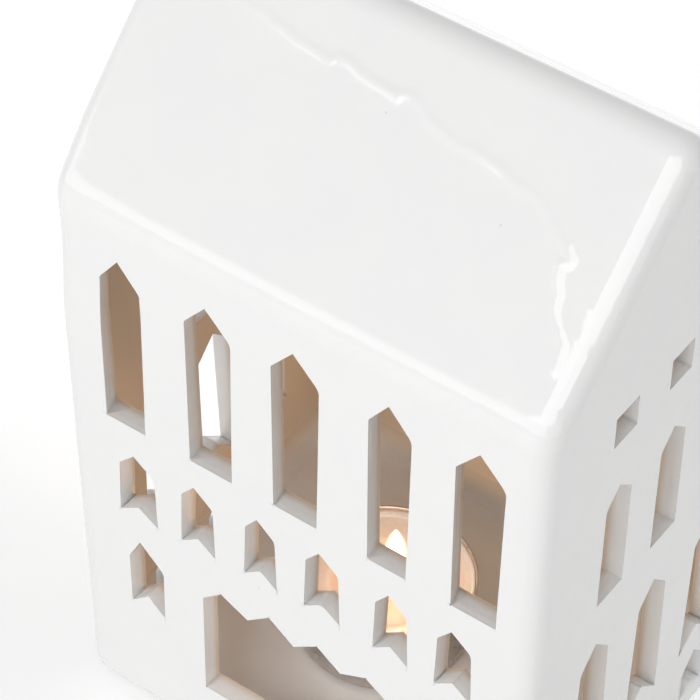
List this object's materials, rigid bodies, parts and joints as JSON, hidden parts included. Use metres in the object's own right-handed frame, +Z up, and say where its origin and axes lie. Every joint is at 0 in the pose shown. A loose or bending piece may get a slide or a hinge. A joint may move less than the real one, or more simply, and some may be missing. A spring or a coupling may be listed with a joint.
{
  "type": "tealight house",
  "caption": "Glazed ceramic house with a gable roof, pointed window cut-outs and an arched doorway, and a loose tealight on its floor.",
  "frame": {"origin": "middle of the house's box, at the height of the surface that the house stands on", "axes": "+Z up, +X along the ridge towards the right gable, -Y out of the long front wall"},
  "size_m": [0.109, 0.0826, 0.1695],
  "materials": {
    "white_glaze": "gloss",
    "cup_aluminium": "satin",
    "candle_wax": "satin",
    "tinned_steel": "satin",
    "charred_cotton": "matte"
  },
  "bodies": {
    "house": {"house_shell": "white_glaze"},
    "tealight": {"tealight_cup": "cup_aluminium", "tealight_wax": "candle_wax", "wick_sustainer": "tinned_steel", "wick": "charred_cotton"}
  },
  "joints": [
    {"name": "tealight_lift", "type": "slide", "parent": "house", "child": "tealight", "axis": [0, 0, 1], "range_m": [0, 0.0095]}
  ]
}
